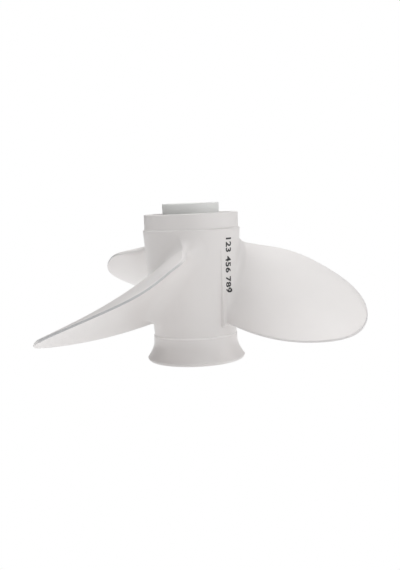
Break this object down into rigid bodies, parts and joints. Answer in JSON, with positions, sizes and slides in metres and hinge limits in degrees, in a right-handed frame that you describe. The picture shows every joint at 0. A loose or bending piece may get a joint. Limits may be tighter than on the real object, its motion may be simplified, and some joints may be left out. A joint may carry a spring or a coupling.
{
  "type": "boat propeller",
  "caption": "Boat propeller with skewed blades round a tapered hollow hub, a flared rear ring and a splined sleeve held in rubber.",
  "frame": {"origin": "on the shaft's axis, level with the rear rim that the part stands on", "axes": "+Z along the shaft towards the forward end, +X through the middle of the first blade's root"},
  "size_m": [0.2211, 0.2294, 0.1134],
  "materials": {
    "white_paint": "satin gloss white paint over cast aluminium",
    "black_rubber": "matt moulded rubber",
    "brass": "machined bronze, lightly dulled"
  },
  "bodies": {
    "root": {"outer_barrel": "white_paint", "inner_barrel": "white_paint", "rib_1": "white_paint", "rib_2": "white_paint", "rib_3": "white_paint", "blade_1": "white_paint", "blade_2": "white_paint", "blade_3": "white_paint", "diffuser_ring": "white_paint", "rubber_bush": "black_rubber", "splined_sleeve": "brass"}
  },
  "joints": []
}
